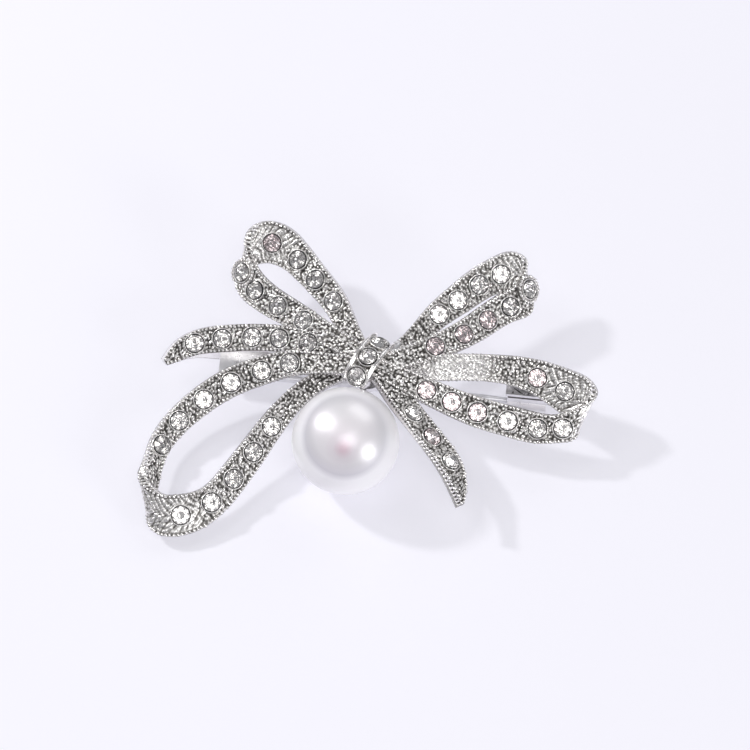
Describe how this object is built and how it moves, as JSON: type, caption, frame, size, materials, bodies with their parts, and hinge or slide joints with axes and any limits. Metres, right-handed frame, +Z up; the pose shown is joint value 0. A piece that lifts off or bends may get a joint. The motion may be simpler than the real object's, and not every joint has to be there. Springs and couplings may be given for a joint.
{
  "type": "bow brooch",
  "caption": "Stone-set ribbon bow brooch with a bead pearl hung under its knot and a hinged pin that closes into a turning safety catch on the back.",
  "frame": {"origin": "middle of the footprint, on the surface the brooch lies on, face up", "axes": "+X along the length of the bow towards the catch, +Y away from the pearl, +Z up out of the face"},
  "size_m": [0.0514, 0.0368, 0.012],
  "materials": {
    "antiqued_plate": "silver-coloured plate, grained and beaded, darkened in the recesses",
    "plain_plate": "smooth silver-coloured plate",
    "pin_wire": "drawn and polished wire",
    "stones": "faceted, foiled on the back",
    "nacre": "pearl lustre"
  },
  "bodies": {
    "brooch": {"upper_left_loop": "antiqued_plate", "upper_right_loop": "antiqued_plate", "right_loop": "antiqued_plate", "lower_left_loop": "antiqued_plate", "left_tail": "antiqued_plate", "right_tail": "antiqued_plate", "knot": "antiqued_plate", "upper_left_loop_stones": "stones", "upper_right_loop_stones": "stones", "right_loop_stones": "stones", "lower_left_loop_stones": "stones", "left_tail_stones": "stones", "right_tail_stones": "stones", "knot_stones": "stones", "pearl": "nacre", "pearl_cup": "plain_plate", "back_plate": "plain_plate", "pearl_peg": "plain_plate", "hinge_bracket": "plain_plate", "hinge_rivet": "plain_plate", "catch_shell": "plain_plate"},
    "pin": {"pin_stem": "pin_wire"},
    "sleeve": {"catch_sleeve": "plain_plate"}
  },
  "joints": [
    {"name": "pin_swing", "type": "hinge", "parent": "brooch", "child": "pin", "pos_m": [-0.01409, 0.00218, 0.00145], "axis": [0.1118, 0.9937, 0], "range_deg": [0, 80]},
    {"name": "catch_turn", "type": "hinge", "parent": "brooch", "child": "sleeve", "pos_m": [0.01791, -0.00142, 0.00145], "axis": [-0.9937, 0.1118, 0], "range_deg": [0, 83]}
  ]
}
